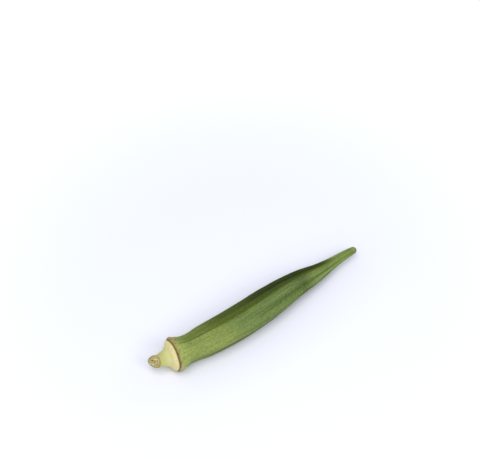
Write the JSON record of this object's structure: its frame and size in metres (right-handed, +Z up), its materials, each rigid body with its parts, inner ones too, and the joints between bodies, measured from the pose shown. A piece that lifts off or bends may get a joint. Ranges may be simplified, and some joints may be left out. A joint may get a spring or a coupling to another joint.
{
  "type": "okra pod",
  "caption": "Fresh okra pod lying on its side: ribbed tapering body, pale flared cap with a corky ring, short slant-cut stalk.",
  "frame": {"origin": "on the surface the pod rests on, below the centre of its bounding box", "axes": "+X along the pod from the cut stalk to the tip, +Z up, +Y across"},
  "size_m": [0.1222, 0.0194, 0.0164],
  "materials": {
    "pod_skin": "matte, finely haired green skin with a satin sheen"
  },
  "bodies": {
    "root": {"okra_pod": "pod_skin"}
  },
  "joints": []
}
